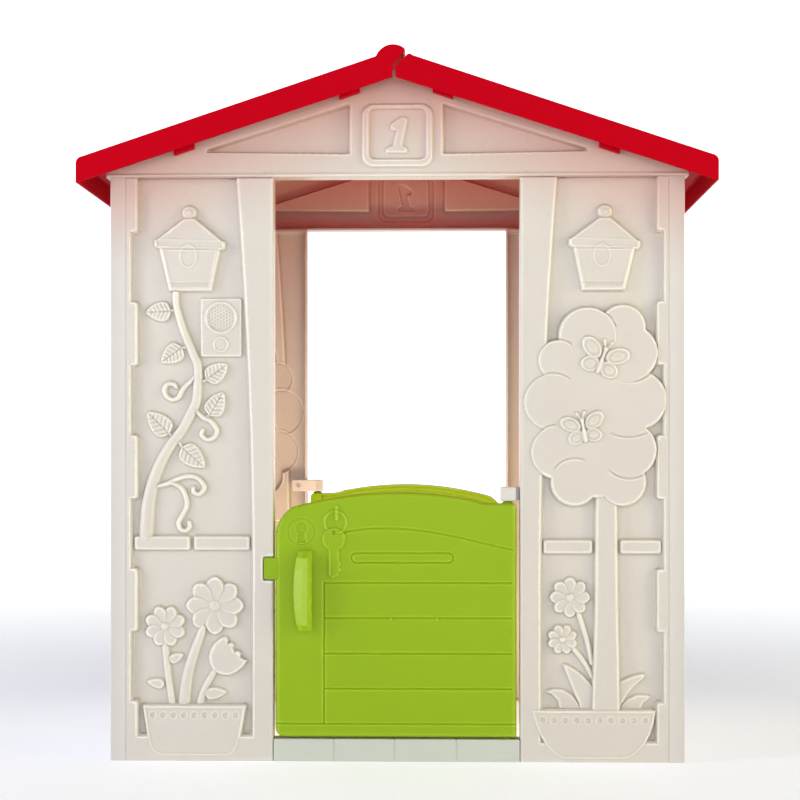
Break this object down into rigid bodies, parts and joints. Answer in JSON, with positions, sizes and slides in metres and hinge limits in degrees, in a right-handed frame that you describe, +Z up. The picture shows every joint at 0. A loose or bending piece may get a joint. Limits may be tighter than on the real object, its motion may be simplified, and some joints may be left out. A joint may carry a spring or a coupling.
{
  "type": "playhouse",
  "caption": "Toddler's moulded plastic playhouse with relief-decorated wall panels, number gables, a pitched two-piece roof and a hinged half door in the doorway at each end.",
  "frame": {"origin": "on the floor under the middle of the roof, halfway between the front and rear doors", "axes": "+X to the right as seen from the front, +Y from the front to the rear, +Z up; the front half door is on the -Y side"},
  "size_m": [1.125, 0.9, 1.2596],
  "materials": {
    "panel_plastic": "satin ivory, fine moulded texture",
    "side_plastic": "satin ivory, a little greyer than the panels",
    "roof_plastic": "semi-gloss red",
    "door_plastic": "semi-gloss lime green",
    "threshold_plastic": "satin pale grey",
    "screw_steel": "zinc plated"
  },
  "bodies": {
    "house": {"left_side_wall": "side_plastic", "right_side_wall": "side_plastic", "roof_left": "roof_plastic", "roof_right": "roof_plastic", "corner_screws": "screw_steel", "gable_screws": "screw_steel", "threshold_screws": "screw_steel", "front_vine_panel": "panel_plastic", "front_tree_panel": "panel_plastic", "front_gable": "panel_plastic", "front_threshold": "threshold_plastic", "front_hinge_bracket": "threshold_plastic", "front_bracket_screw": "screw_steel", "rear_vine_panel": "panel_plastic", "rear_tree_panel": "panel_plastic", "rear_gable": "panel_plastic", "rear_threshold": "threshold_plastic", "rear_hinge_bracket": "threshold_plastic", "rear_bracket_screw": "screw_steel"},
    "front_door": {"front_door": "door_plastic", "front_door_handle": "door_plastic", "front_handle_screws": "screw_steel"},
    "rear_door": {"rear_door": "door_plastic", "rear_door_handle": "door_plastic", "rear_handle_screws": "screw_steel"}
  },
  "joints": [
    {"name": "front_door_hinge", "type": "hinge", "parent": "house", "child": "front_door", "pos_m": [0.196, -0.3975, 0.25], "axis": [0, 0, 1], "range_deg": [0, 95]},
    {"name": "rear_door_hinge", "type": "hinge", "parent": "house", "child": "rear_door", "pos_m": [-0.196, 0.3975, 0.25], "axis": [0, 0, 1], "range_deg": [0, 95]}
  ]
}
